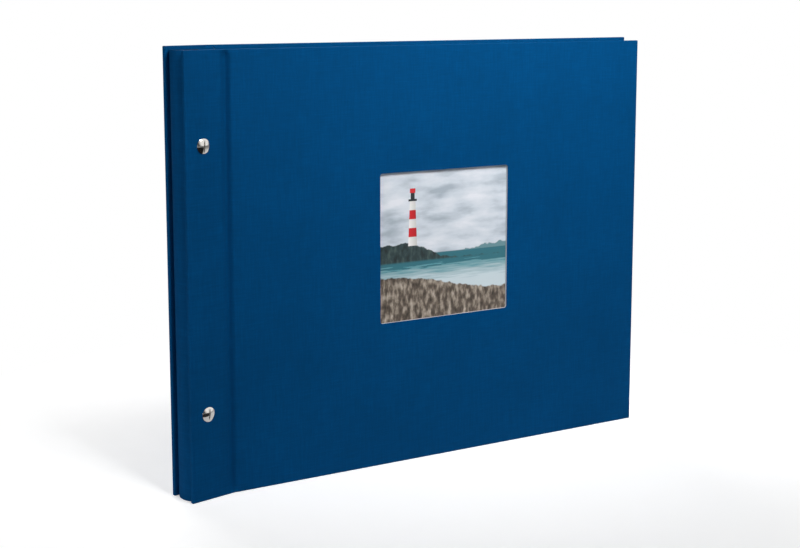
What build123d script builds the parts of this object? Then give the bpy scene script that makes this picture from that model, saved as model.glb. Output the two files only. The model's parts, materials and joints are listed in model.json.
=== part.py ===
from build123d import *
import math
import os

# A large screw-post scrapbook album, standing on its foot, spine at the left.
# Plan view: +X runs along the front cover to the fore edge, the front faces -Y, +Z is up.
# The origin is the middle of the front cover's foot.

# Covers
cover_width = 352.5  # main board with its cloth, groove to fore edge
cover_height = 310.0
rear_extra_height = 2.4  # the rear cover stands this much taller
cover_thickness = 3.0  # cloth, board and lining together
cloth_thickness = 0.4
turn_in_width = 16.0  # cloth folded over onto the inside
window_board_thickness = 1.6

# Hinge groove and binding strip
strip_width = 28.5
groove_width = 9.0
axis_to_board = 3.2  # hinge line to the edge of the main board
hinge_cloth_thickness = 1.6  # cloth and the paper behind it
spine_twist = 11.7  # degrees the bound edge is turned from the front cover
rear_closing = 1.9  # degrees the rear cover closes towards the front one

# Window
window_width = 112.0
window_height = 111.0
window_left = 119.0  # hinge line to the window's near side
window_bottom = 107.0
window_corner_radius = 1.8
picture_margin = 6.0  # hidden border of the picture behind the window
picture_thickness = 0.25
picture_clearance = 0.25

# Leaves
leaf_count = 20
leaf_thickness = 0.25
spacer_thickness = 0.63
leaf_inset = 4.0  # leaves sit this far inside the covers at head and tail
leaf_fore_inset = 6.0
crease_gap = 0.3  # stub edge to hinge line, and hinge line to leaf edge
stub_start = 26.4  # hinge line to the bound edge of the stubs
fore_edge_clearance = 0.2  # outer leaves to the linings at the fore edge

# Rounded spine wrap
wrap_cloth_thickness = 0.4
wrap_card_thickness = 0.5
wrap_radius = 15.5
wrap_recess = 0.3  # crown of the wrap inside the strips' edges
wrap_leg_reach = 7.6  # hinge line to the wrap's clamped edge

# Binding screws
head_diameter = 10.4
head_rim = 0.5
head_dome = 1.3
slot_width = 1.0
slot_depth = 0.9
slot_lean = 6.0
screw_from_axis = 20.3
lower_screw_height = 61.0
screw_spacing = 185.0
post_diameter = 5.0
post_bore_depth = 13.5
post_end_inset = 1.0  # post stops this far below the front strip's face
shank_diameter = 3.9
shank_length = 11.0
shank_clearance = 0.06  # radial, so the screw can turn in the post
bore_diameter = shank_diameter + 2 * shank_clearance
hole_clearance = 0.2  # radial, post to the holes it passes through

# What follows from these
leaf_pitch = leaf_thickness + spacer_thickness
stack_thickness = leaf_count * leaf_pitch
wrap_thickness = wrap_cloth_thickness + wrap_card_thickness
strip_inner = cover_thickness
stack_front = cover_thickness + wrap_thickness
spine_thickness = 2 * stack_front + stack_thickness
strip_near = groove_width - axis_to_board
strip_far = strip_near + strip_width
hinge_x = -(axis_to_board + cover_width / 2)
hinge_y = -cover_thickness / 2
rear_height = cover_height + rear_extra_height
leaf_height = cover_height - 2 * leaf_inset
board_back = cover_thickness - cloth_thickness
hole_diameter = post_diameter + 2 * hole_clearance

os.makedirs("parts", exist_ok=True)


def slab(x0, x1, y0, y1, z0, z1):
    """A box between two corners."""
    size = (x1 - x0, y1 - y0, z1 - z0)
    middle = ((x0 + x1) / 2, (y0 + y1) / 2, (z0 + z1) / 2)
    return Pos(*middle) * Box(*size)


def upright(points, z0, z1):
    """A plan outline raised between two heights."""
    outline = make_face(Polyline(*points, close=True))
    return Pos(0, 0, z0) * extrude(outline, z1 - z0)


def through(x, z, diameter, y0, y1):
    """A round bar along Y."""
    bar = Cylinder(diameter / 2, y1 - y0)
    return Pos(x, (y0 + y1) / 2, z) * Rot(90, 0, 0) * bar


def eight_sided(x, z, diameter, y0, y1):
    """An eight-sided bar along Y, as wide across its flats as diameter."""
    outline = RegularPolygon(diameter / 2, 8, major_radius=False)
    bar = extrude(outline, y1 - y0)
    return Pos(x, y1, z) * Rot(90, 0, 0) * bar


def save(shape, name):
    """Write one piece."""
    shape.label = name
    export_step(shape, f"parts/{name}.step")


# Three local frames. X = 0, Y = 0 is the hinge line on the outer face of a cover.
front_place = Pos(hinge_x, hinge_y, 0)
spine_place = Pos(hinge_x, hinge_y, 0) * Rot(0, 0, spine_twist)
rear_hinge = spine_place * Pos(0, spine_thickness, 0)
rear_place = rear_hinge * Rot(0, 0, -spine_twist - rear_closing)

screw_heights = {"lower": lower_screw_height, "upper": lower_screw_height + screw_spacing}
cover_end = axis_to_board + cover_width


# Covers: cloth wrapped round a board and turned in, with a lining paper laid on top.
# Depth 0 is the outer face and cover_thickness the inner one.
def cover_cloth(height):
    """The cloth of one main board, with its turned-in border."""
    outer = slab(axis_to_board, cover_end, 0, cover_thickness, 0, height)
    board_room = slab(
        axis_to_board + cloth_thickness,
        cover_end - cloth_thickness,
        cloth_thickness,
        board_back,
        cloth_thickness,
        height - cloth_thickness,
    )
    lining_room = slab(
        axis_to_board + turn_in_width,
        cover_end - turn_in_width,
        board_back,
        cover_thickness,
        turn_in_width,
        height - turn_in_width,
    )
    return outer - board_room - lining_room


def board_panel(height, depth0, depth1):
    """A flat board that fills the cloth."""
    return slab(
        axis_to_board + cloth_thickness,
        cover_end - cloth_thickness,
        depth0,
        depth1,
        cloth_thickness,
        height - cloth_thickness,
    )


def lining_paper(height):
    """Lining that fills the turned-in border."""
    return slab(
        axis_to_board + turn_in_width,
        cover_end - turn_in_width,
        board_back,
        cover_thickness,
        turn_in_width,
        height - turn_in_width,
    )


def front_opening(grow, depth0, depth1):
    """The window's outline as a solid, grown all round."""
    width = window_width + 2 * grow
    tall = window_height + 2 * grow
    middle_x = window_left + window_width / 2
    middle_z = window_bottom + window_height / 2
    block = Box(width, depth1 - depth0, tall)
    if grow == 0:
        block = fillet(block.edges().filter_by(Axis.Y), window_corner_radius)
    return Pos(middle_x, (depth0 + depth1) / 2, middle_z) * block


# Front cover: a light-cored window board on a thinner backing board, picture between.
split_depth = cloth_thickness + window_board_thickness
window_hole = front_opening(0, -1, split_depth)
front_cloth = cover_cloth(cover_height) - window_hole
front_window_board = board_panel(cover_height, cloth_thickness, split_depth) - window_hole
picture_pocket = front_opening(
    picture_margin + picture_clearance, split_depth, split_depth + picture_thickness
)
front_backing_board = board_panel(cover_height, split_depth, board_back) - picture_pocket
picture = front_opening(picture_margin, split_depth, split_depth + picture_thickness)
save(front_place * front_cloth, "front_cloth")
save(front_place * front_window_board, "front_window_board")
save(front_place * front_backing_board, "front_backing_board")
save(front_place * picture, "window_picture")
save(front_place * lining_paper(cover_height), "front_lining_paper")


# Rear cover: the same build, unbroken, seen from behind.
def behind(shape):
    """Turn a front piece into a rear one: its outer face to the back."""
    return rear_place * mirror(shape, about=Plane.XZ)


save(behind(cover_cloth(rear_height)), "rear_cloth")
save(behind(board_panel(rear_height, cloth_thickness, board_back)), "rear_board")
save(behind(lining_paper(rear_height)), "rear_lining_paper")


# Binding strips: a narrow board in cloth, clamped by the two screws.
def with_holes(shape, bar=through):
    """Cut both screw holes right through a piece of the spine."""
    for height in screw_heights.values():
        shape -= bar(-screw_from_axis, height, hole_diameter, -2, spine_thickness + 2)
    return shape


def strip_slab(inset, height):
    """The strip, shrunk by inset on every side."""
    return slab(
        -strip_far + inset,
        -strip_near - inset,
        inset,
        cover_thickness - inset,
        inset,
        height - inset,
    )


def flip_back(shape):
    """Move a piece of the front strip to the rear one."""
    return Pos(0, spine_thickness, 0) * mirror(shape, about=Plane.XZ)


for side, height in {"front": cover_height, "rear": rear_height}.items():
    board = with_holes(strip_slab(cloth_thickness, height))
    cloth = strip_slab(0, height) - strip_slab(cloth_thickness, height)
    if side == "rear":
        board = with_holes(flip_back(strip_slab(cloth_thickness, height)))
        cloth = flip_back(cloth)
    save(spine_place * board, f"{side}_strip_board")
    save(spine_place * with_holes(cloth), f"{side}_strip_cloth")


# Cloth hinges: the doubled cloth that fills the lower half of each groove.
def hinge_band(turn, height):
    """Cloth from the strip to the main board, bent by turn degrees at the hinge line."""
    outer_depth = cover_thickness - hinge_cloth_thickness
    half = math.radians(turn / 2)

    def on_strip(depth):
        point = Vector(-strip_near, depth).rotate(Axis.Z, turn)
        return (point.X, point.Y)

    def at_bend(depth):
        return (-depth * math.tan(half), depth)

    points = [
        on_strip(outer_depth),
        at_bend(outer_depth),
        (axis_to_board, outer_depth),
        (axis_to_board, cover_thickness),
        at_bend(cover_thickness),
        on_strip(cover_thickness),
    ]
    return upright(points, 0, height)


save(front_place * hinge_band(spine_twist, cover_height), "front_hinge_cloth")
rear_bend = -spine_twist - rear_closing
save(behind(hinge_band(rear_bend, rear_height)), "rear_hinge_cloth")


# Leaf stubs and the spacers between them, held by the screws. Their hidden holes are
# punched with eight sides.
stubs = []
spacers = []
for k in range(leaf_count):
    front = stack_front + k * leaf_pitch
    spacer = slab(
        -stub_start,
        -strip_near,
        front,
        front + spacer_thickness,
        leaf_inset,
        cover_height - leaf_inset,
    )
    stub = slab(
        -stub_start,
        -crease_gap,
        front + spacer_thickness,
        front + leaf_pitch,
        leaf_inset,
        cover_height - leaf_inset,
    )
    spacers.append(with_holes(spacer, eight_sided))
    stubs.append(with_holes(stub, eight_sided))
save(spine_place * Compound(children=spacers), "leaf_spacers")
save(spine_place * Compound(children=stubs), "leaf_stubs")


# Rounded spine wrap: its legs lie between the strips and the stubs.
def wrap_layer(outside, thickness):
    """A U-shaped layer whose outer skin is `outside` below the strips' inner faces."""
    middle = spine_thickness / 2
    crown = -strip_far + wrap_recess

    def skin(depth):
        """Plan path of one surface: leg, flank, crown, flank, leg."""
        half = middle - cover_thickness - depth
        radius = wrap_radius - depth
        centre = crown + wrap_radius
        meet = math.asin(half / radius)
        shoulder = centre - radius * math.cos(meet)
        leg_front = Line((-wrap_leg_reach, middle - half), (shoulder, middle - half))
        arc = ThreePointArc(
            (shoulder, middle - half),
            (centre - radius, middle),
            (shoulder, middle + half),
        )
        leg_rear = Line((shoulder, middle + half), (-wrap_leg_reach, middle + half))
        return [leg_front, arc, leg_rear]

    outer = skin(outside)
    inner = skin(outside + thickness)
    ends = [
        Line(outer[0] @ 0, inner[0] @ 0),
        Line(outer[2] @ 1, inner[2] @ 1),
    ]
    return make_face(outer + inner + ends)


wrap_cloth = extrude(wrap_layer(0, wrap_cloth_thickness), cover_height)
wrap_card = extrude(
    wrap_layer(wrap_cloth_thickness, wrap_card_thickness), cover_height - 2 * cloth_thickness
)
save(spine_place * with_holes(wrap_cloth), "spine_wrap_cloth")
wrap_card = with_holes(Pos(0, 0, cloth_thickness) * wrap_card)
save(spine_place * wrap_card, "spine_wrap_card")


# Posts from behind and slotted screws from the front, turned on their own axis.
def domed_head():
    """A low domed head, flat side at height 0."""
    radius = head_diameter / 2
    height = head_rim + head_dome
    dome_radius = (radius**2 + head_dome**2) / (2 * head_dome)
    blank = Pos(0, 0, height / 2) * Cylinder(radius, height)
    return blank & Pos(0, 0, height - dome_radius) * Sphere(dome_radius)


post_length = spine_thickness - post_end_inset
head_top = head_rim + head_dome
slot = Pos(0, 0, head_top) * Box(slot_width, head_diameter * 1.2, 2 * slot_depth)
bar = Pos(0, 0, -shank_length / 2) * Cylinder(shank_diameter / 2, shank_length)
screw = domed_head() - Rot(0, 0, -slot_lean) * slot + bar
post = domed_head() + Pos(0, 0, -post_length / 2) * Cylinder(post_diameter / 2, post_length)
bore_middle = -post_length + post_bore_depth / 2
post -= Pos(0, 0, bore_middle) * Cylinder(bore_diameter / 2, post_bore_depth)
for name, height in screw_heights.items():
    seat = spine_place * Pos(-screw_from_axis, 0, height) * Rot(90, 0, 0)
    rear_seat = spine_place * Pos(-screw_from_axis, spine_thickness, height) * Rot(-90, 0, 0)
    save(seat * screw, f"{name}_screw")
    save(rear_seat * post, f"{name}_post")


# Leaves: each turns on its own crease, closing up towards the fore edge.
def leaf_direction(k):
    """Hinge line of leaf k in the front cover's frame, and the leaf's angle in degrees."""
    depth = stack_front + k * leaf_pitch + spacer_thickness + leaf_thickness / 2
    start = Vector(0, depth).rotate(Axis.Z, spine_twist)
    reach = cover_end - leaf_fore_inset
    close = math.radians(rear_closing)
    rear_start = Vector(0, spine_thickness).rotate(Axis.Z, spine_twist)
    rear_inner = rear_start.Y - cover_thickness / math.cos(close)
    rear_inner -= (reach - rear_start.X) * math.tan(close)
    first = cover_thickness + fore_edge_clearance + leaf_thickness / 2
    last = rear_inner - fore_edge_clearance - leaf_thickness / 2
    target = first + (last - first) * k / (leaf_count - 1)
    angle = math.degrees(math.atan2(target - start.Y, reach - start.X))
    return start, angle, reach


for k in range(leaf_count):
    start, angle, reach = leaf_direction(k)
    length = (reach - start.X) / math.cos(math.radians(angle))
    leaf = slab(
        crease_gap,
        length,
        -leaf_thickness / 2,
        leaf_thickness / 2,
        leaf_inset,
        cover_height - leaf_inset,
    )
    place = front_place * Pos(start.X, start.Y, 0) * Rot(0, 0, angle)
    save(place * leaf, f"leaf_{k + 1:02d}")
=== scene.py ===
import json
import math
import bpy
from mathutils import Matrix, Vector
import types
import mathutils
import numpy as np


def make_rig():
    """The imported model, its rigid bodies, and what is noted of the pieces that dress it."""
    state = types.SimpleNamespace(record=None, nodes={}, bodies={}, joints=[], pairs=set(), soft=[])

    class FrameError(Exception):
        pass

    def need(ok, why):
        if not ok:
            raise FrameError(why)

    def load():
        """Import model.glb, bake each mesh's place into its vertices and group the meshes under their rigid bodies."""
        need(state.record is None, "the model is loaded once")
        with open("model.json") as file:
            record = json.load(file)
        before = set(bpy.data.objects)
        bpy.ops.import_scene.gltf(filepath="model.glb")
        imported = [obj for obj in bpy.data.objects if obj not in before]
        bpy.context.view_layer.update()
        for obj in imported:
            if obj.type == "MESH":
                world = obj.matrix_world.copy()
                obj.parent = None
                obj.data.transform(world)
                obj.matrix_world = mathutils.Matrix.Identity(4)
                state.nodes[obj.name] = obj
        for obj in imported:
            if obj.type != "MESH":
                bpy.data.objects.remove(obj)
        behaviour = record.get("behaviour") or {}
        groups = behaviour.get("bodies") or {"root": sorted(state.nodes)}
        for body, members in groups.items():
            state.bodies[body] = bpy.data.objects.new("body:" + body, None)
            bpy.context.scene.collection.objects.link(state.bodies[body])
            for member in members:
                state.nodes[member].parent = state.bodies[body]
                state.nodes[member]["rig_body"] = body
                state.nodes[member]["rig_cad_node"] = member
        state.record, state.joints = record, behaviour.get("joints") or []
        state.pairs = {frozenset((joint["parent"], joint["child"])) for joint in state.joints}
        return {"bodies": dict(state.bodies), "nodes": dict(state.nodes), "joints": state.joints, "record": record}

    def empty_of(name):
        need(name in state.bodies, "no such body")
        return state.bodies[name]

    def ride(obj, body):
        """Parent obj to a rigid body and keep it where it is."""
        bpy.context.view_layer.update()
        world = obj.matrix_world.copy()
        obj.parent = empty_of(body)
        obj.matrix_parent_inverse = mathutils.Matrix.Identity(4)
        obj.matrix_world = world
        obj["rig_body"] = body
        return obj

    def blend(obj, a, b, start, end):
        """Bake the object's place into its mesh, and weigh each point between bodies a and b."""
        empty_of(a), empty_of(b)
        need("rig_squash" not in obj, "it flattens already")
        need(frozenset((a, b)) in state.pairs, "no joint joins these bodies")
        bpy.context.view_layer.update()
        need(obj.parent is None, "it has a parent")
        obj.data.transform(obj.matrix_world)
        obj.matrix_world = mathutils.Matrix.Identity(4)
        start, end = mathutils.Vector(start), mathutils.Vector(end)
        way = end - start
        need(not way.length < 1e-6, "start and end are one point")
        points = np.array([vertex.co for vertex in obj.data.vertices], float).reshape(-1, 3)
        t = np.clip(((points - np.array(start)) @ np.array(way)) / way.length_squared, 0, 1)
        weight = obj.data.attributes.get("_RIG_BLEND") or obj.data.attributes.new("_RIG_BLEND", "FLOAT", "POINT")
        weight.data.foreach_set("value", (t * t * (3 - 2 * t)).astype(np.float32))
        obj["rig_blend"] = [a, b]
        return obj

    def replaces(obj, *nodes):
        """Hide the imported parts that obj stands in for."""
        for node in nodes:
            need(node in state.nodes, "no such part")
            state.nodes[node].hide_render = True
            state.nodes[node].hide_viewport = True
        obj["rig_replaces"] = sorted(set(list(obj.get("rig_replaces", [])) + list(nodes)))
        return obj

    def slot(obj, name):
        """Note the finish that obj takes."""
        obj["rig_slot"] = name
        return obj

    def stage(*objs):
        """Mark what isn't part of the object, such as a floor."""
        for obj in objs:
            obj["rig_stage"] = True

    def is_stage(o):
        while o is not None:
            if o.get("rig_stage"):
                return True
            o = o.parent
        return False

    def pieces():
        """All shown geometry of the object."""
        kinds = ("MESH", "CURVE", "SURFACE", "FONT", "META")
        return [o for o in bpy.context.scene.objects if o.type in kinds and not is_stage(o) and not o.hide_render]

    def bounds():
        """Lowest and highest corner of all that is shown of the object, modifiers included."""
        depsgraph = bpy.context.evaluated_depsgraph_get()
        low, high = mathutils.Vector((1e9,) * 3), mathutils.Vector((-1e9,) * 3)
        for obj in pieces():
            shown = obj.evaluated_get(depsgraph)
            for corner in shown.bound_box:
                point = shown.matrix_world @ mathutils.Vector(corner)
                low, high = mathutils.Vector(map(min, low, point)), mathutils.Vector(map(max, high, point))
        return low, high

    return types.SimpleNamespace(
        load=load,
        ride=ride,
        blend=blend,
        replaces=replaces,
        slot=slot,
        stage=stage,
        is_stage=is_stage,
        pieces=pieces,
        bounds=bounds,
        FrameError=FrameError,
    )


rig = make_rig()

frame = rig.load()
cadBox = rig.bounds()

# The album's own sizes in millimetres, the same as the solids have.
album = {
    "coverWidth": 352.5, "coverHeight": 310.0, "rearHeight": 312.4, "thickness": 3.0,
    "boardEdge": 3.2, "stripNear": 5.8, "stripFar": 34.3, "spineThickness": 25.4,
    "twist": 11.7, "rearClosing": 1.9, "cloth": 0.4, "turnIn": 16.0,
    "edgeRadius": 0.6, "edgeSteps": 4,  # how round the cloth makes the boards' edges
    "screwFromHinge": 20.3, "screwHeights": (61.0, 246.0), "postHole": 5.4, "holeSides": 48,
}
coverEnd = album["boardEdge"] + album["coverWidth"]
toolReach = 2.0  # how far a cutting tool stands out of what it cuts

# Local frames in millimetres: x = 0, y = 0 is the hinge line on a cover's outer face, and y
# runs inwards. The rear ones are mirrored, so that a rear piece is shaped as a front one.
mirrorY = Matrix.Scale(-1, 4, (0, 1, 0))
hingeAt = (-(album["boardEdge"] + album["coverWidth"] / 2), -album["thickness"] / 2, 0)
frontPlace = Matrix.Translation(hingeAt)
spinePlace = frontPlace @ Matrix.Rotation(math.radians(album["twist"]), 4, "Z")
rearHinge = spinePlace @ Matrix.Translation((0, album["spineThickness"], 0))
rearTurn = -math.radians(album["twist"] + album["rearClosing"])
rearPlace = rearHinge @ Matrix.Rotation(rearTurn, 4, "Z") @ mirrorY
rearStripPlace = rearHinge @ mirrorY
print("frame loaded")


# Mesh helpers, all in millimetres.
def clearSelection():
    if bpy.context.object and bpy.context.object.mode != "OBJECT":
        bpy.ops.object.mode_set(mode="OBJECT")
    bpy.ops.object.select_all(action="DESELECT")


def takeUp(obj):
    clearSelection()
    obj.select_set(True)
    bpy.context.view_layer.objects.active = obj


def pick(obj, test, kind="FACE"):  # leaves obj in edit mode with what passes the test selected
    takeUp(obj)
    bpy.ops.object.mode_set(mode="EDIT")
    bpy.ops.mesh.select_mode(type=kind)
    bpy.ops.mesh.select_all(action="DESELECT")
    bpy.ops.object.mode_set(mode="OBJECT")
    mesh = obj.data
    if kind == "FACE":
        for face in mesh.polygons:
            face.select = test(face.center, face.normal)
    elif kind == "EDGE":
        for edge in mesh.edges:
            a, b = (mesh.vertices[v].co for v in edge.vertices)
            edge.select = test(a, b)
    else:
        for vertex in mesh.vertices:
            vertex.select = test(vertex.co)
    bpy.ops.object.mode_set(mode="EDIT")


def near(a, b, reach=1e-3):
    return abs(a - b) < reach


def settle(obj):  # moves an object's place, turn and scale into its mesh
    takeUp(obj)
    bpy.ops.object.transform_apply(location=True, rotation=True, scale=True)


def slab(name, low, high):  # a block between two corners
    clearSelection()
    middle = [(a + b) / 2 for a, b in zip(low, high)]
    bpy.ops.mesh.primitive_cube_add(size=1, location=middle)
    block = bpy.context.object
    block.name = name
    block.scale = [b - a for a, b in zip(low, high)]
    settle(block)
    return block


def drawLine(name, points):  # a chain of edges from point to point
    clearSelection()
    bpy.ops.mesh.primitive_plane_add(size=1)
    line = bpy.context.object
    line.name = name
    bpy.ops.object.mode_set(mode="EDIT")
    bpy.ops.mesh.select_mode(type="VERT")
    bpy.ops.mesh.select_all(action="SELECT")
    bpy.ops.mesh.merge(type="CENTER")
    bpy.ops.transform.translate(value=points[0])
    for a, b in zip(points, points[1:]):
        step = [q - p for p, q in zip(a, b)]
        bpy.ops.mesh.extrude_vertices_move(TRANSFORM_OT_translate={"value": step})
    return line


def divide(obj, at, across):  # adds edges round the mesh where a plane meets it
    pick(obj, lambda c, n: True)
    bpy.ops.mesh.bisect(plane_co=at, plane_no=across)


def applied(obj, kind, **settings):  # one modifier, set and applied
    takeUp(obj)
    modifier = obj.modifiers.new(kind.lower(), kind)
    for key, value in settings.items():
        setattr(modifier, key, value)
    bpy.ops.object.modifier_apply(modifier=modifier.name)


def cut(obj, tool):
    applied(obj, "BOOLEAN", object=tool, operation="DIFFERENCE", solver="EXACT")
    bpy.data.objects.remove(tool)


def copied(obj, name):  # a copy with its own mesh
    made = obj.copy()
    made.data = obj.data.copy()
    made.name = name
    bpy.context.collection.objects.link(made)
    return made


def finish(obj, place, material, body, solid, slot, smooth=35):
    obj.data.transform(Matrix.Scale(0.001, 4) @ place)
    takeUp(obj)
    bpy.ops.object.mode_set(mode="EDIT")
    bpy.ops.mesh.select_all(action="SELECT")
    bpy.ops.mesh.remove_doubles(threshold=1e-7)
    bpy.ops.mesh.normals_make_consistent(inside=False)
    bpy.ops.object.mode_set(mode="OBJECT")
    bpy.ops.object.shade_smooth_by_angle(angle=math.radians(smooth))
    obj.data.materials.clear()
    obj.data.materials.append(material)
    if body:  # hinge cloths and leaves have none, and are blended between two
        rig.ride(obj, body)
    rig.replaces(obj, solid)
    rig.slot(obj, slot)


# Material helpers.
def colour(code):  # sRGB hex to linear
    parts = [int(code[i:i + 2], 16) / 255 for i in (1, 3, 5)]
    return [p / 12.92 if p <= 0.04045 else ((p + 0.055) / 1.055) ** 2.4 for p in parts] + [1]


def socketOf(sockets, key):  # by number or by name, among those in use
    inUse = [socket for socket in sockets if socket.enabled]
    return inUse[key] if isinstance(key, int) else next(s for s in inUse if s.name == key)


def node(tree, kind, inputs=None, stops=(), give=0, **settings):
    made = tree.nodes.new(kind)
    for key, value in settings.items():
        setattr(made, key, value)
    for index, (position, code) in enumerate(stops):  # a colour ramp's, in rising order
        elements = made.color_ramp.elements
        element = elements[index] if index < 2 else elements.new(position)
        element.position = position
        element.color = colour(code)
    for key, value in (inputs or {}).items():  # an input is linked to a node or set to a value
        socket = socketOf(made.inputs, key)
        if isinstance(value, bpy.types.NodeSocket):
            tree.links.new(value, socket)
        else:
            socket.default_value = value
    return socketOf(made.outputs, give)


def newMaterial(name, sockets=None):
    material = bpy.data.materials.new(name)
    material.use_nodes = True
    shader = material.node_tree.nodes["Principled BSDF"]
    for key, value in (sockets or {}).items():
        shader.inputs[key].default_value = value
    return material, material.node_tree, shader


# Bookbinding linen, dyed in the piece and backed with paper: a plain weave whose thick and
# thin threads show as short faint streaks both ways, matt, with hardly any gloss of its own.
# Threads lie 0.45 mm apart, and are drawn at 0.9 mm so that they show.
linenLook = {
    "tones": ((0.3, "#003D69"), (0.5, "#004171"), (0.7, "#00477A")),
    "thread": 0.0009, "drawnOut": 0.07, "mottle": 0.055, "mottleShare": 0.35,
    "relief": 0.00012, "reliefStrength": 0.3,
    "sockets": {"Roughness": 0.8, "IOR": 1.47, "Specular IOR Level": 0.04},
}


def bookLinen(name):
    look = linenLook
    material, tree, shader = newMaterial(name, look["sockets"])
    place = node(tree, "ShaderNodeTexCoord", give="Object")
    threads = []
    along = look["drawnOut"]
    for stretch in ((along, along, 1.0), (1.0, 1.0, along)):  # weft, then warp
        lie = node(tree, "ShaderNodeMapping", {"Vector": place, "Scale": stretch})
        threads.append(node(tree, "ShaderNodeTexNoise", {
            "Vector": lie, "Scale": 1 / look["thread"], "Detail": 2.0}))
    weave = node(tree, "ShaderNodeMath", {0: threads[0], 1: threads[1]}, operation="ADD")
    weave = node(tree, "ShaderNodeMath", {0: weave, 1: 0.5}, operation="MULTIPLY")
    cloud = node(tree, "ShaderNodeTexNoise", {
        "Vector": place, "Scale": 1 / look["mottle"], "Detail": 3.0})
    tint = node(tree, "ShaderNodeMath", {
        0: cloud, 1: look["mottleShare"], 2: weave}, operation="MULTIPLY_ADD")
    tint = node(tree, "ShaderNodeMath", {0: tint, 1: look["mottleShare"] / 2}, operation="SUBTRACT")
    tone = node(tree, "ShaderNodeValToRGB", {0: tint}, stops=look["tones"])
    tree.links.new(tone, shader.inputs["Base Color"])
    bump = node(tree, "ShaderNodeBump", {
        "Height": weave, "Strength": look["reliefStrength"], "Distance": look["relief"]})
    tree.links.new(bump, shader.inputs["Normal"])
    return material


# Uncoated card and paper: pressed fibre, a matt face with a fine cloudy grain. Fibres of
# 0.03 mm are drawn at about 1 mm so that they show, and the clouds are 40 mm across.
paperLook = {
    "cloud": 0.04, "fibreShare": 0.3, "flecked": 0.45, "clean": 0.85,
    "relief": 0.00005, "reliefStrength": 0.2,
    "sockets": {"Roughness": 0.88, "IOR": 1.5, "Specular IOR Level": 0.3},
}


def pressedPaper(name, base, fleck, grain=0.001):
    look = paperLook
    material, tree, shader = newMaterial(name, look["sockets"])
    place = node(tree, "ShaderNodeTexCoord", give="Object")
    fibre = node(tree, "ShaderNodeTexNoise", {"Vector": place, "Scale": 1 / grain, "Detail": 4.0})
    cloud = node(tree, "ShaderNodeTexNoise", {
        "Vector": place, "Scale": 1 / look["cloud"], "Detail": 2.0})
    formation = node(tree, "ShaderNodeMath", {
        0: cloud, 1: look["fibreShare"], 2: fibre}, operation="MULTIPLY_ADD")
    tone = node(tree, "ShaderNodeValToRGB", {0: formation}, stops=(
        (look["flecked"], fleck), (look["clean"], base)))
    tree.links.new(tone, shader.inputs["Base Color"])
    bump = node(tree, "ShaderNodeBump", {
        "Height": fibre, "Strength": look["reliefStrength"], "Distance": look["relief"]})
    tree.links.new(bump, shader.inputs["Normal"])
    return material


# Nickel plate on turned steel, barrel polished: a bright mirror that is a little hazy from
# rubbing. The rubbed marks are 0.05 mm, and are drawn at 0.4 mm so that they show.
nickelLook = {"marks": 0.0004, "rough": (0.05, 0.12), "tones": ((0.3, "#CFCBC6"), (0.7, "#DEDBD6"))}


def platedNickel(name):
    material, tree, shader = newMaterial(name, {"Metallic": 1.0})
    place = node(tree, "ShaderNodeTexCoord", give="Object")
    rub = node(tree, "ShaderNodeTexNoise", {
        "Vector": place, "Scale": 1 / nickelLook["marks"], "Detail": 2.0})
    low, high = nickelLook["rough"]
    rough = node(tree, "ShaderNodeMapRange", {"Value": rub, "To Min": low, "To Max": high})
    tone = node(tree, "ShaderNodeValToRGB", {0: rub}, stops=nickelLook["tones"])
    tree.links.new(rough, shader.inputs["Roughness"])
    tree.links.new(tone, shader.inputs["Base Color"])
    return material


linen = bookLinen("dyed_book_linen")
core = pressedPaper("pale_core_board", "#C2C6CA", "#B0B5BA")  # cool white, cut clean
greyBoard = pressedPaper("grey_binders_board", "#8B867C", "#6F6A61", grain=0.002)  # coarse pulp
liningPaper = pressedPaper("ivory_lining_paper", "#EAE5D8", "#DDD7C8")  # smooth and warm
leafCard = pressedPaper("ivory_leaf_card", "#EFEBDF", "#E3DDCF", grain=0.0008)  # the finest grain
spacerCard = pressedPaper("ivory_spacer_card", "#E0D9C8", "#CEC6B3")  # a shade darker
spineCard = pressedPaper("navy_spine_card", "#12243F", "#0D1B30")  # dyed dark right through
nickel = platedNickel("polished_nickel_plate")

coverMake = {  # the covers' own sizes, of which the print needs the window
    "window": (119.0, 231.0, 107.0, 218.0), "windowRadius": 1.8, "windowDepth": 2.0,
    "windowSteps": 8, "seamWidth": 0.3, "seamDeep": 1.0, "seamOver": 0.2,
    "seamFromCorner": 1.5, "seamPastBorder": 1.0,
}

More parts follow.
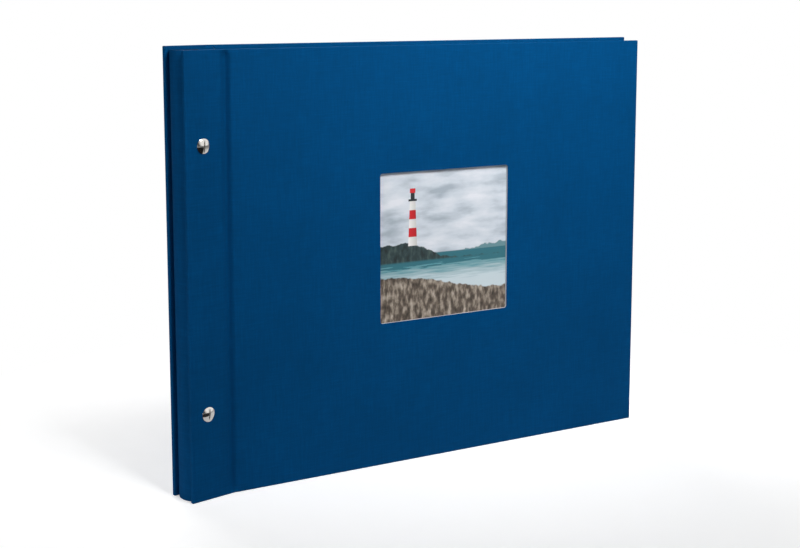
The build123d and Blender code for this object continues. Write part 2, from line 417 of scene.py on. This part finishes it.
# The print behind the window, on satin photo paper: an invented stretch of coast, flat sea
# under thin cloud, with a banded lighthouse on a low point at the left and dunes in front.
# Places in it run from 0 to 1 across the window and up it. The coat shines softly, with a
# pebble of 0.2 mm that is drawn at 2 mm so that it shows.
printMake = {
    "grounds": {  # how far the grain is squeezed upwards, its scale and detail, and its tones
        "sky": (3.2, 3.4, 5.0, ((0.33, "#A2ADB8"), (0.5, "#C8D0D9"), (0.68, "#DFE2E9"))),
        "sea": (14.0, 5.0, 4.0, (  # its darkest tone has a hard edge
            (0.55, "#C5D3D9"), (1.0, "#549099"), (1.0, "#326C78"))),
        "point": (0.5, 30.0, 4.0, ((0.3, "#161E20"), (0.5, "#2D3F41"), (0.75, "#53645E"))),
        "dune": (0.45, 34.0, 6.0, (
            (0.32, "#2E2822"), (0.47, "#60554B"), (0.58, "#958A7D"), (0.72, "#C1B5A8"))),
    },
    "crests": {  # where a ground's crest starts and ends across, and how high it is there
        "shore": (0.55, 1.0, 0.435, 0.475), "point": (0.62, 0.18, 0.39, 0.52),
        "dune": (1.0, 0.0, 0.16, 0.30),
    },
    "rough": 0.03, "crags": 14.0, "waves": 0.7, "horizon": 0.44, "nearWater": 0.2,
    "shoreFoot": 0.436, "pointFoot": (0.385, 0.40),
    "fadeAbove": {"sea": 0.002, "shore": 0.002, "point": 0.002, "dune": 0.004}, "fadeBelow": 0.004,
    "shore": "#658A91", "tower": "#EFEEEC", "band": "#D0272E", "lamp": "#232B30",
    "towerAt": 0.255, "towerFoot": 0.50, "towerTop": 0.80, "towerHalf": 0.034, "taper": 0.62,
    "bandPairs": 2.5, "shade": 0.62,
    "onTop": {  # from and to above the tower's top, half width and colour
        "gallery": (0.0, 0.014, 0.032, "lamp"), "lantern": (0.014, 0.055, 0.015, "lamp"),
        "cap": (0.055, 0.085, 0.021, "band"),
    },
    "order": ("sea", "shore", "point", "tower", "gallery", "lantern", "cap", "dune"),
    "pebble": 0.002, "coat": (0.3, 0.42),
}


def printedPicture(name):
    material, tree, shader = newMaterial(name, {"IOR": 1.5})
    make = printMake
    left, right, foot, head = coverMake["window"]
    wide, high = (right - left) / 1000, (head - foot) / 1000
    startX = (left - album["boardEdge"] - album["coverWidth"] / 2) / 1000
    place = node(tree, "ShaderNodeTexCoord", give="Object")
    across = node(tree, "ShaderNodeMapping", {
        "Vector": place, "Location": (-startX / wide, 0.0, -foot / 1000 / high),
        "Scale": (1 / wide, 0.0, 1 / high)})
    u, v = (node(tree, "ShaderNodeSeparateXYZ", {0: across}, give=axis) for axis in "XZ")

    looks = {"shore": colour(make["shore"])}  # what each layer is painted with
    for part, (squeeze, scale, detail, stops) in make["grounds"].items():
        lie = node(tree, "ShaderNodeMapping", {"Vector": across, "Scale": (1.0, 1.0, squeeze)})
        grain = node(tree, "ShaderNodeTexNoise", {"Vector": lie, "Scale": scale, "Detail": detail})
        if part == "sea":  # darker with distance
            far = node(tree, "ShaderNodeMapRange", {
                "Value": v, "From Min": make["nearWater"], "From Max": make["horizon"]})
            grain = node(tree, "ShaderNodeMath", {
                0: grain, 1: make["waves"], 2: far}, operation="MULTIPLY_ADD")
        looks[part] = node(tree, "ShaderNodeValToRGB", {0: grain}, stops=stops)

    rough = node(tree, "ShaderNodeTexNoise", {
        "Vector": across, "Scale": make["crags"], "Detail": 3.0})
    ridge = node(tree, "ShaderNodeMapRange", {
        "Value": rough, "To Min": -make["rough"], "To Max": make["rough"]})
    tops = {"sea": make["horizon"]}  # how high each ground reaches at a place across
    for part, (start, end, low, high) in make["crests"].items():
        slope = node(tree, "ShaderNodeMapRange", {
            "Value": u, "From Min": start, "From Max": end, "To Min": low, "To Max": high},
            interpolation_type="SMOOTHSTEP")
        tops[part] = node(tree, "ShaderNodeMath", {0: slope, 1: ridge}, operation="ADD")
    masks = {}  # where each layer shows
    for part, top in tops.items():
        gap = node(tree, "ShaderNodeMath", {0: top, 1: v}, operation="SUBTRACT")
        masks[part] = node(tree, "ShaderNodeMapRange", {
            "Value": gap, "From Min": -make["fadeAbove"][part], "From Max": make["fadeBelow"]})
    low, high = make["pointFoot"]
    feet = {  # the far shore and the point end where they stand on the water
        "shore": node(tree, "ShaderNodeMath", {
            0: v, 1: make["shoreFoot"]}, operation="GREATER_THAN"),
        "point": node(tree, "ShaderNodeMapRange", {"Value": v, "From Min": low, "From Max": high}),
    }
    for part, above in feet.items():
        masks[part] = node(tree, "ShaderNodeMath", {0: masks[part], 1: above}, operation="MULTIPLY")

    offset = node(tree, "ShaderNodeMath", {0: u, 1: make["towerAt"]}, operation="SUBTRACT")
    aside = node(tree, "ShaderNodeMath", {0: offset}, operation="ABSOLUTE")
    climb = node(tree, "ShaderNodeMapRange", {
        "Value": v, "From Min": make["towerFoot"], "From Max": make["towerTop"]})
    bands = node(tree, "ShaderNodeMath", {0: climb, 1: make["bandPairs"]}, operation="MULTIPLY")
    bands = node(tree, "ShaderNodeMath", {0: bands}, operation="FRACT")
    bands = node(tree, "ShaderNodeMath", {0: bands, 1: 0.5}, operation="GREATER_THAN")
    painted = node(tree, "ShaderNodeMix", {
        "Factor": bands, "A": colour(make["tower"]), "B": colour(make["band"])}, data_type="RGBA")
    half = make["towerHalf"]
    sides = node(tree, "ShaderNodeMapRange", {
        "Value": offset, "From Min": -half, "From Max": half,
        "To Min": 1.0, "To Max": make["shade"]})
    looks["tower"] = node(tree, "ShaderNodeVectorMath", {
        0: painted, "Scale": sides}, operation="SCALE")
    narrow = node(tree, "ShaderNodeMapRange", {
        "Value": climb, "To Min": half, "To Max": half * make["taper"]})
    top = make["towerTop"]
    parts = {"tower": (make["towerFoot"], top, narrow)}
    for part, (low, high, width, tint) in make["onTop"].items():
        parts[part] = (top + low, top + high, width)
        looks[part] = colour(make[tint])
    for part, (low, high, width) in parts.items():
        inside = node(tree, "ShaderNodeMath", {0: aside, 1: width}, operation="LESS_THAN")
        over = node(tree, "ShaderNodeMath", {0: v, 1: low}, operation="GREATER_THAN")
        under = node(tree, "ShaderNodeMath", {0: v, 1: high}, operation="LESS_THAN")
        mask = node(tree, "ShaderNodeMath", {0: over, 1: under}, operation="MULTIPLY")
        masks[part] = node(tree, "ShaderNodeMath", {0: mask, 1: inside}, operation="MULTIPLY")

    paint = looks["sky"]
    for part in make["order"]:  # from the back to the front
        paint = node(tree, "ShaderNodeMix", {
            "Factor": masks[part], "A": paint, "B": looks[part]}, data_type="RGBA")
    tree.links.new(paint, shader.inputs["Base Color"])
    pebble = node(tree, "ShaderNodeTexNoise", {
        "Vector": place, "Scale": 1 / make["pebble"], "Detail": 2.0})
    low, high = make["coat"]
    coat = node(tree, "ShaderNodeMapRange", {"Value": pebble, "To Min": low, "To Max": high})
    tree.links.new(coat, shader.inputs["Roughness"])
    return material


picturePrint = printedPicture("satin_photo_print")
print("materials made")


# Covers: cloth drawn round the board and turned in, mitred at the corners.
def coverCloth(name, height):
    make, low, turn, deep = coverMake, album["boardEdge"], album["turnIn"], album["thickness"]
    skin = slab(name, (low, 0, 0), (coverEnd, deep, height))
    pick(skin, lambda c, n: n.y > 0.9)
    bpy.ops.mesh.inset(thickness=turn, depth=0)
    bpy.ops.mesh.delete(type="FACE")
    outside = (low, coverEnd), (0, deep), (0, height)

    def rounded(a, b):  # an outer edge, unless it is on the hinge side
        sides = sum(any(near(a[i], s) and near(b[i], s) for s in outside[i]) for i in range(3))
        return sides == 2 and not (near(a.x, low) and near(b.x, low))

    pick(skin, rounded, "EDGE")
    bpy.ops.mesh.bevel(offset=album["edgeRadius"], segments=album["edgeSteps"], affect="EDGES")
    applied(skin, "SOLIDIFY", thickness=album["cloth"], offset=-1, use_even_offset=True)
    half, side = turn * math.sqrt(2) / 2, make["seamWidth"] / 2
    for away, up in ((1, 1), (-1, 1), (1, -1), (-1, -1)):  # mitre seams in the turned-in cloth
        seam = slab("seam", (make["seamFromCorner"] - half, -make["seamDeep"], -side),
                    (half + make["seamPastBorder"], make["seamOver"], side))
        seam.rotation_euler.y = math.atan2(-up, away)
        x, z = low if away > 0 else coverEnd, 0 if up > 0 else height
        seam.location = (x + away * turn / 2, deep, z + up * turn / 2)
        settle(seam)
        cut(skin, seam)
    return skin


frontCloth = coverCloth("front_cover_cloth", album["coverHeight"])
left, right, foot, head = coverMake["window"]
opening = slab("opening", (left, -toolReach, foot), (right, coverMake["windowDepth"], head))
pick(opening, lambda a, b: near(a.x, b.x) and near(a.z, b.z), "EDGE")
bpy.ops.mesh.bevel(
    offset=coverMake["windowRadius"], segments=coverMake["windowSteps"], affect="EDGES")
cut(frontCloth, opening)
finish(frontCloth, frontPlace, linen, "front_cover", "front_cloth", "blue_bookcloth")
rearCloth = coverCloth("rear_cover_cloth", album["rearHeight"])
finish(rearCloth, rearPlace, linen, "rear_cover", "rear_cloth", "blue_bookcloth")
print("covers made")

# Lining papers, pasted down inside the covers and over the turned-in cloth.
liningMake = {
    "margin": 5.0, "lap": 0.12, "step": 0.5, "sink": 0.05, "crease": 0.05, "creaseAngle": 15,
}


def liningSheet(name, height):
    make, flat = liningMake, album["thickness"]
    low, high = album["boardEdge"] + make["margin"], coverEnd - make["margin"]
    sheet = slab(name, (low, flat, make["margin"]),
                 (high, flat + make["lap"], height - make["margin"]))
    for side in (1, -1):  # the step down onto the board, on both faces
        pick(sheet, lambda c, n: n.y * side > 0.9)
        bpy.ops.mesh.inset(thickness=album["turnIn"] - make["margin"], depth=0)
        bpy.ops.mesh.inset(thickness=make["step"], depth=0)
        drop = make["lap"] + make["sink"] if side > 0 else album["cloth"]
        bpy.ops.transform.translate(value=(0, -drop, 0))
    applied(sheet, "BEVEL", width=make["crease"], segments=2, limit_method="ANGLE",
            angle_limit=math.radians(make["creaseAngle"]))
    return sheet


for side, place, height in (
    ("front", frontPlace, album["coverHeight"]), ("rear", rearPlace, album["rearHeight"]),
):
    paper = liningSheet(side + "_lining_sheet", height)
    finish(paper, place, liningPaper, side + "_cover", side + "_lining_paper", "lining_paper")
print("lining papers made")


# Binding strips: narrow boards wrapped in the same cloth, with holes for the posts.
def punch(obj, depth):
    for height in album["screwHeights"]:
        clearSelection()
        bpy.ops.mesh.primitive_cylinder_add(
            vertices=album["holeSides"], radius=album["postHole"] / 2, depth=depth + 2 * toolReach,
            location=(-album["screwFromHinge"], depth / 2, height), rotation=(math.pi / 2, 0, 0))
        bar = bpy.context.object
        settle(bar)
        cut(obj, bar)


for side, place, height in (
    ("front", spinePlace, album["coverHeight"]), ("rear", rearStripPlace, album["rearHeight"]),
):
    inner = -album["stripNear"]
    strip = slab(side + "_binding_strip", (-album["stripFar"], 0, 0),
                 (inner, album["thickness"], height))
    pick(strip, lambda a, b: not (near(a.x, inner) and near(b.x, inner)), "EDGE")
    bpy.ops.mesh.bevel(offset=album["edgeRadius"], segments=album["edgeSteps"], affect="EDGES")
    applied(strip, "SOLIDIFY", thickness=album["cloth"], offset=-1, use_even_offset=True)
    punch(strip, album["thickness"])
    finish(strip, place, linen, "spine", side + "_strip_cloth", "blue_bookcloth")
print("strips made")

# Cloth hinges: a soft valley from the strip to the main board, filled out at head and foot
# where the cloth is turned in. Its lowest place is a share of the way across.
hingeMake = {
    "dip": 2.4, "lowest": 0.6, "hollow": 0.3, "sunk": 0.03, "bend": 3.0,
    "columns": 24, "endRun": 7.0, "rows": 6, "spans": 8,
}


def hingeDip(across, height, top):  # how deep the cloth lies at a place in the groove
    start, end = -album["stripNear"], album["boardEdge"]
    t, lowest = (across - start) / (end - start), hingeMake["lowest"]
    t = min(1, max(0, t / lowest if t < lowest else (1 - t) / (1 - lowest)))
    fall = t * t * (3 - 2 * t)
    edge = min(1, min(height, top - height) / hingeMake["endRun"])
    return hingeMake["dip"] * fall * edge * (2 - edge)


def hingeCloth(name, turn, height):
    make, deep = hingeMake, album["thickness"]
    start, end = -album["stripNear"], album["boardEdge"]
    band = slab(name, (start, 0, 0), (end, deep, height))
    pick(band, lambda a, b: near(a.y, b.y) and near(a.z, b.z), "EDGE")
    bpy.ops.mesh.bevel(offset=album["edgeRadius"], segments=album["edgeSteps"], affect="EDGES")
    for step in range(1, make["columns"]):
        divide(band, (start + (end - start) * step / make["columns"], 0, 0), (1, 0, 0))
    rows = [make["endRun"] * r / make["rows"] for r in range(1, make["rows"] + 1)]
    spans = [height * k / make["spans"] for k in range(1, make["spans"])]
    for z in rows + [height - r for r in rows] + spans:  # closest near the two ends
        divide(band, (0, 0, z), (0, 0, 1))
    bpy.ops.object.mode_set(mode="OBJECT")
    for vertex in band.data.vertices:
        p = vertex.co
        hollow = make["hollow"] * math.sin(math.pi * (p.x - start) / (end - start)) ** 2
        p.y += (make["sunk"] + hingeDip(p.x, p.z, height)) * (1 - p.y / deep) - hollow * p.y / deep
        share = min(1, max(0, (make["bend"] / 2 - p.x) / make["bend"]))
        angle = math.radians(turn) * share * share * (3 - 2 * share)
        vertex.co = Matrix.Rotation(angle, 3, "Z") @ p
    return band


for side, place, turn, height in (
    ("front", frontPlace, album["twist"], album["coverHeight"]),
    ("rear", rearPlace, -album["twist"] - album["rearClosing"], album["rearHeight"]),
):
    band = hingeCloth(side + "_hinge_cloth_band", turn, height)
    finish(band, place, linen, None, side + "_hinge_cloth", "blue_bookcloth", smooth=60)
    depth = album["thickness"] / 2
    turned = place @ Matrix.Rotation(math.radians(turn), 4, "Z")
    begin = turned @ Vector((-album["stripNear"], depth, 0))
    stop = place @ Vector((album["boardEdge"], depth, 0))
    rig.blend(band, "spine", side + "_cover", start=begin * 0.001, end=stop * 0.001)
print("hinges made")

# The rounded spine wrap: cloth drawn over a card, with lips turned over the card's ends.
wrapMake = {
    "radius": 15.5, "recess": 0.3, "legReach": 7.6, "steps": 28, "card": 0.5, "lipRadius": 0.25,
    "lipSteps": 3, "atSkin": 0.05, "atEnd": 0.01,  # the last two: how near counts as there
}


def spineWrap(name):
    make, height = wrapMake, album["coverHeight"]
    middle = album["spineThickness"] / 2
    half = middle - album["thickness"]
    centre = make["radius"] + make["recess"] - album["stripFar"]
    meet = math.asin(half / make["radius"])
    shoulder = centre - make["radius"] * math.cos(meet)
    full = album["cloth"] + make["card"]

    def fromSkin(p):  # how far a point lies inside the outer skin
        if p.x > shoulder - make["atEnd"]:
            return half - abs(p.y - middle)
        return make["radius"] - math.hypot(p.x - centre, p.y - middle)

    wrap = drawLine(name, [(-make["legReach"], middle - half, 0), (shoulder, middle - half, 0)])
    bpy.ops.mesh.spin(
        steps=make["steps"], angle=2 * meet, center=(centre, middle, 0), axis=(0, 0, 1))
    leg = {"value": (-make["legReach"] - shoulder, 0, 0)}
    bpy.ops.mesh.extrude_vertices_move(TRANSFORM_OT_translate=leg)
    bpy.ops.mesh.select_mode(type="EDGE")
    bpy.ops.mesh.select_all(action="SELECT")
    bpy.ops.mesh.extrude_edges_move(TRANSFORM_OT_translate={"value": (0, 0, height)})
    bpy.ops.object.mode_set(mode="OBJECT")
    crown = min(wrap.data.polygons, key=lambda f: f.center.x)
    if crown.normal.x > 0:
        pick(wrap, lambda c, n: True)
        bpy.ops.mesh.flip_normals()
    applied(wrap, "SOLIDIFY", thickness=full, offset=-1, use_even_offset=True)
    pick(wrap, lambda c, n: near(c.x, -make["legReach"], make["atEnd"])
         or abs(n.z) < 0.5 and fromSkin(c) > full / 2)
    bpy.ops.mesh.delete(type="FACE")
    pick(wrap, lambda a, b: near(a.z, b.z)
         and fromSkin(a) < make["atSkin"] and fromSkin(b) < make["atSkin"], "EDGE")
    bpy.ops.mesh.bevel(offset=make["lipRadius"], segments=make["lipSteps"], affect="EDGES")
    applied(wrap, "SOLIDIFY", thickness=album["cloth"], offset=-1, use_even_offset=True)
    punch(wrap, album["spineThickness"])
    return wrap


finish(spineWrap("spine_wrap"), spinePlace, linen, "spine", "spine_wrap_cloth", "blue_bookcloth")
print("wrap made")

# Leaves: one sheet of card with three pressed score lines, copied twenty times. A leaf bends
# at its scores as it turns.
leafMake = {
    "count": 20, "thick": 0.25, "spacer": 0.63, "stackFront": 3.9, "inset": 4.0, "foreInset": 6.0,
    "creaseGap": 0.3, "clearance": 0.2, "bendEnd": 11.0,
    "scores": (4.0, 7.0, 10.0), "scoreWidth": 0.5, "scoreDepth": 0.05,
}


def leafPlaces():  # each leaf's hinge point, angle and length in the front cover's frame
    make = leafMake
    turn = Matrix.Rotation(math.radians(album["twist"]), 3, "Z")
    close = math.radians(album["rearClosing"])
    reach = coverEnd - make["foreInset"]
    rear = turn @ Vector((0, album["spineThickness"], 0))
    rearInner = rear.y - album["thickness"] / math.cos(close) - (reach - rear.x) * math.tan(close)
    first = album["thickness"] + make["clearance"] + make["thick"] / 2
    last = rearInner - make["clearance"] - make["thick"] / 2
    pitch = make["thick"] + make["spacer"]
    places = []
    for k in range(make["count"]):
        depth = make["stackFront"] + k * pitch + make["spacer"] + make["thick"] / 2
        start = turn @ Vector((0, depth, 0))
        target = first + (last - first) * k / (make["count"] - 1)
        angle = math.atan2(target - start.y, reach - start.x)
        places.append((start, angle, (reach - start.x) / math.cos(angle)))
    return places


def plainLeaf(name, length):
    make = leafMake
    leaf = slab(name, (make["creaseGap"], -make["thick"] / 2, make["inset"]),
                (length, make["thick"] / 2, album["coverHeight"] - make["inset"]))
    for score in make["scores"]:
        for side in (-1, 0, 1):
            divide(leaf, (score + side * make["scoreWidth"] / 2, 0, 0), (1, 0, 0))
        pick(leaf, lambda p: near(p.x, score), "VERT")
        bpy.ops.transform.translate(value=(0, make["scoreDepth"], 0))
    bpy.ops.object.mode_set(mode="OBJECT")
    return leaf


places = leafPlaces()
shortest = min(length for _, _, length in places)
firstLeaf = plainLeaf("leaf_sheet", shortest)
for k, (start, angle, length) in enumerate(places):
    sheet = copied(firstLeaf, f"leaf_sheet_{k + 1:02d}")
    pick(sheet, lambda p: near(p.x, shortest), "VERT")  # the fore edge, to this leaf's length
    bpy.ops.transform.translate(value=(length - shortest, 0, 0))
    bpy.ops.object.mode_set(mode="OBJECT")
    place = frontPlace @ Matrix.Translation(start) @ Matrix.Rotation(angle, 4, "Z")
    name = f"leaf_{k + 1:02d}"
    finish(sheet, place, leafCard, None, name, "leaf_card", smooth=20)
    ends = (place @ Vector((x, 0, 0)) * 0.001 for x in (leafMake["creaseGap"], leafMake["bendEnd"]))
    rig.blend(sheet, "spine", name, *ends)
bpy.data.objects.remove(firstLeaf)
print("leaves made")

# Binding screws and posts: turned, domed and polished, slotted at the front.
screwMake = {
    "head": 10.4, "rim": 0.5, "dome": 1.3, "domeSteps": 14, "turns": 96,
    "rimIn": 0.072, "rimDown": 0.108, "rimFoot": 0.09,  # the rim's small roundings
    "slotWidth": 1.0, "slotDepth": 0.9, "slotLean": 6.0, "slotEdge": 0.12, "slotEdgeAngle": 50,
    "shank": 3.9, "shankLength": 11.0, "shankTip": 0.5,
    "post": 5.0, "postLength": 24.4, "bore": 4.02, "boreDepth": 13.5,
}


def domeLine():  # half the head's section, from the middle of the dome to the foot of the rim
    make = screwMake
    radius, top = make["head"] / 2, make["rim"] + make["dome"]
    ball = (radius ** 2 + make["dome"] ** 2) / (2 * make["dome"])
    line = []
    for step in range(make["domeSteps"] + 1):
        r = (radius - make["rimIn"]) * step / make["domeSteps"]
        line.append((r, 0, top - ball + math.sqrt(ball ** 2 - r ** 2)))
    line.append((radius, 0, make["rim"] - make["rimDown"]))
    line.append((radius, 0, make["rimFoot"]))
    line.append((radius - make["rimFoot"], 0, 0))
    return line


def turnedFrom(name, line):
    piece = drawLine(name, line)
    bpy.ops.mesh.select_all(action="SELECT")
    bpy.ops.mesh.spin(
        steps=screwMake["turns"], angle=2 * math.pi, center=(0, 0, 0), axis=(0, 0, 1))
    bpy.ops.mesh.select_all(action="SELECT")
    bpy.ops.mesh.remove_doubles(threshold=0.001)
    bpy.ops.mesh.normals_make_consistent(inside=False)
    bpy.ops.object.mode_set(mode="OBJECT")
    return piece


def plainScrew(name):
    make = screwMake
    shank, tip, length = make["shank"] / 2, make["shankTip"], make["shankLength"]
    screw = turnedFrom(name, domeLine() + [
        (shank, 0, 0), (shank, 0, -length + tip), (shank - tip, 0, -length), (0, 0, -length)])
    top, half = make["rim"] + make["dome"], make["slotWidth"] / 2
    slot = slab("slot", (-half, -make["head"], top - make["slotDepth"]),
                (half, make["head"], top + toolReach))
    slot.rotation_euler.z = -math.radians(make["slotLean"])
    settle(slot)
    cut(screw, slot)
    applied(screw, "BEVEL", width=make["slotEdge"], segments=2, limit_method="ANGLE",
            angle_limit=math.radians(make["slotEdgeAngle"]))
    return screw


def plainPost(name):
    make = screwMake
    outer, bore, end = make["post"] / 2, make["bore"] / 2, -make["postLength"]
    boreEnd = end + make["boreDepth"]
    return turnedFrom(name, domeLine() + [
        (outer, 0, 0), (outer, 0, end), (bore, 0, end), (bore, 0, boreEnd), (0, 0, boreEnd)])


# One screw and one post, each copied for the two holes: heads out, a post's from the rear.
for kind, first, body, depth, quarter in (
    ("screw", plainScrew("screw_turned"), None, 0, 1),
    ("post", plainPost("post_turned"), "spine", album["spineThickness"], -1),
):
    seat = Matrix.Rotation(quarter * math.pi / 2, 4, "X")
    for which, height in zip(("lower", "upper"), album["screwHeights"]):
        piece = copied(first, f"{which}_{kind}_turned")
        at = spinePlace @ Matrix.Translation((-album["screwFromHinge"], depth, height)) @ seat
        finish(piece, at, nickel, body or f"{which}_screw", f"{which}_{kind}", "polished_nickel")
    bpy.data.objects.remove(first)
print("screws made")

# CAD nodes that keep their solids get their finishes.
finishes = {
    "window_board": core, "binder_board": greyBoard, "lining_paper": liningPaper,
    "leaf_card": leafCard, "spacer_card": spacerCard, "picture_print": picturePrint,
    "spine_card": spineCard, "polished_nickel": nickel, "blue_bookcloth": linen,
}
for part in frame["record"]["subparts"]:
    solid = frame["nodes"][part["node"]]
    solid.data.materials.clear()
    solid.data.materials.append(finishes[part["material_slot"]])

# Floor: white studio paper, matt and even. The camera sees it as plain white away from the
# object, and near it still with the object's shadow. Polished metal sees it a little lifted.
studio = {
    "radius": 6.0, "sides": 96, "tones": ((0.3, "#E0E0E0"), (0.7, "#E6E6E6")), "grain": 60.0,
    "lift": 0.48, "metalLift": 0.2, "shadeEnds": 0.22, "whiteFrom": 0.46,
}
white = (1, 1, 1, 1)
clearSelection()
bpy.ops.mesh.primitive_circle_add(
    vertices=studio["sides"], radius=studio["radius"], fill_type="NGON", location=(0, 0, 0))
floor = bpy.context.object
floor.name = "floor"
ground, tree, shader = newMaterial("white_studio_paper")
tree.nodes.remove(shader)
place = node(tree, "ShaderNodeTexCoord", give="Object")
grain = node(tree, "ShaderNodeTexNoise", {"Vector": place, "Scale": studio["grain"]})
paper = node(tree, "ShaderNodeValToRGB", {0: grain}, stops=studio["tones"])
seen, mirrored = (
    node(tree, "ShaderNodeLightPath", give=ray) for ray in ("Is Camera Ray", "Is Glossy Ray"))
metal = node(tree, "ShaderNodeMath", {0: mirrored, 1: studio["metalLift"]}, operation="MULTIPLY")
lift = node(tree, "ShaderNodeMath", {
    0: seen, 1: studio["lift"], 2: metal}, operation="MULTIPLY_ADD")
away = node(tree, "ShaderNodeVectorMath", {0: place}, operation="LENGTH")
away = node(tree, "ShaderNodeMapRange", {
    "Value": away, "From Min": studio["shadeEnds"], "From Max": studio["whiteFrom"]})
away = node(tree, "ShaderNodeMath", {0: away, 1: seen}, operation="MULTIPLY")
plain = node(tree, "ShaderNodeBsdfDiffuse", {"Color": paper})
glow = node(tree, "ShaderNodeEmission", {"Strength": lift, "Color": white})
lit = node(tree, "ShaderNodeAddShader", {0: plain, 1: glow})
clear = node(tree, "ShaderNodeEmission", {"Color": white, "Strength": 1.0})
whole = node(tree, "ShaderNodeMixShader", {0: away, 1: lit, 2: clear})
tree.links.new(whole, tree.nodes["Material Output"].inputs["Surface"])
floor.data.materials.append(ground)
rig.stage(floor)

# Black flag: a matt card of napped cloth laid in front, which only the metal sees. It darkens
# one side of each polished head.
flag = {
    "corners": ((-0.6, -0.12), (-0.05, -0.12), (0.85, -1.2), (-0.7, -1.2)), "height": 0.0005,
    "nap": 200.0, "tones": ((0.3, "#08080A"), (0.7, "#141416")),
}
clearSelection()
bpy.ops.mesh.primitive_plane_add(size=1)
card = bpy.context.object
card.name = "black_flag"
corners = sorted(card.data.vertices, key=lambda vertex: (
    -vertex.co.y, vertex.co.x if vertex.co.y > 0 else -vertex.co.x))
for vertex, (x, y) in zip(corners, flag["corners"]):
    vertex.co = (x, y, flag["height"])
card.visible_camera = card.visible_diffuse = False
card.visible_shadow = card.visible_transmission = False
black, tree, shader = newMaterial("black_flag_cloth", {"Roughness": 1.0})
place = node(tree, "ShaderNodeTexCoord", give="Object")
nap = node(tree, "ShaderNodeTexNoise", {"Vector": place, "Scale": flag["nap"]})
nap = node(tree, "ShaderNodeValToRGB", {0: nap}, stops=flag["tones"])
tree.links.new(nap, shader.inputs["Base Color"])
card.data.materials.append(black)
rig.stage(card)

# World: white to the camera, a soft studio to everything else, darkest low at the left.
worldLook = {
    "towards": (0.55, -0.35, 0.75), "from": -0.5, "dark": 0.02, "bright": 0.05,
    "metalTowards": (0.71, -0.596, 0.375), "metalFrom": 0.7, "metalTo": 0.87,
    "metalDark": 0.1, "metalBright": 1.1,
}
world = bpy.context.scene.world or bpy.data.worlds.new("studio")
bpy.context.scene.world = world
world.use_nodes = True
tree = world.node_tree
backdrop = tree.nodes["Background"]
lie = node(tree, "ShaderNodeTexCoord", give="Generated")
seen, through, mirrored = (
    node(tree, "ShaderNodeLightPath", give=ray)
    for ray in ("Is Camera Ray", "Is Transmission Ray", "Is Glossy Ray"))
toLight = node(tree, "ShaderNodeVectorMath", {
    0: lie, 1: worldLook["towards"]}, operation="DOT_PRODUCT")
soft = node(tree, "ShaderNodeMapRange", {
    "Value": toLight, "From Min": worldLook["from"],
    "To Min": worldLook["dark"], "To Max": worldLook["bright"]})
toMetal = node(tree, "ShaderNodeVectorMath", {
    0: lie, 1: worldLook["metalTowards"]}, operation="DOT_PRODUCT")
shiny = node(tree, "ShaderNodeMapRange", {
    "Value": toMetal, "From Min": worldLook["metalFrom"], "From Max": worldLook["metalTo"],
    "To Min": worldLook["metalDark"], "To Max": worldLook["metalBright"]})
level = node(tree, "ShaderNodeMix", {"Factor": mirrored, "A": soft, "B": shiny}, data_type="FLOAT")
shown = node(tree, "ShaderNodeMath", {0: seen, 1: through}, operation="MAXIMUM")
level = node(tree, "ShaderNodeMix", {"Factor": shown, "A": level, "B": 1.0}, data_type="FLOAT")
backdrop.inputs["Color"].default_value = white
tree.links.new(level, backdrop.inputs["Strength"])

lamps = {
    "overheadSoftbox": {
        "at": (0.1, -0.7, 1.1), "aim": (0.12, 0, 0.53), "size": 0.55, "power": 3.7,
        "spread": 66},
    "sideSoftbox": {
        "at": (-1.6, -0.35, 0.5), "aim": (-0.2, 0, 0.15), "size": 0.8, "power": 4.15,
        "spread": 120},
    "backSoftbox": {
        "at": (0.1, 1.35, 0.65), "aim": (0, 0, 0.15), "size": 1.0, "power": 7.0,
        "spread": 110},
}
for name, lamp in lamps.items():
    clearSelection()
    bpy.ops.object.light_add(type="AREA", location=lamp["at"])
    made = bpy.context.object
    made.name = name
    made.data.size = lamp["size"]
    made.data.energy = lamp["power"]
    made.data.spread = math.radians(lamp["spread"])
    toAim = Vector(lamp["aim"]) - Vector(lamp["at"])
    made.rotation_euler = toAim.to_track_quat("-Z", "Y").to_euler()

view = {  # a camera's place in millimetres, its turn in degrees and its lens in picture widths
    "at": (-577.8, -901.5, 347.3), "heading": 30.68, "down": 8.21, "roll": 0.02,
    "lens": 1448.6 / 800, "sensor": 36, "shift": -0.09,
}
clearSelection()
bpy.ops.object.camera_add(location=[c * 0.001 for c in view["at"]])
camera = bpy.context.object
camera.rotation_euler = [
    math.radians(a) for a in (90 - view["down"], view["roll"], -view["heading"])]
camera.data.sensor_width = view["sensor"]
camera.data.lens = view["lens"] * view["sensor"]
camera.data.shift_y = view["shift"]
camera.data.clip_start = 0.01
bpy.context.scene.camera = camera
bpy.context.scene.view_settings.view_transform = "Standard"
print("stage set")

size = {"cad": [list(c) for c in cadBox], "visual": [list(c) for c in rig.bounds()]}
json.dump(size, open("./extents.json", "w"))
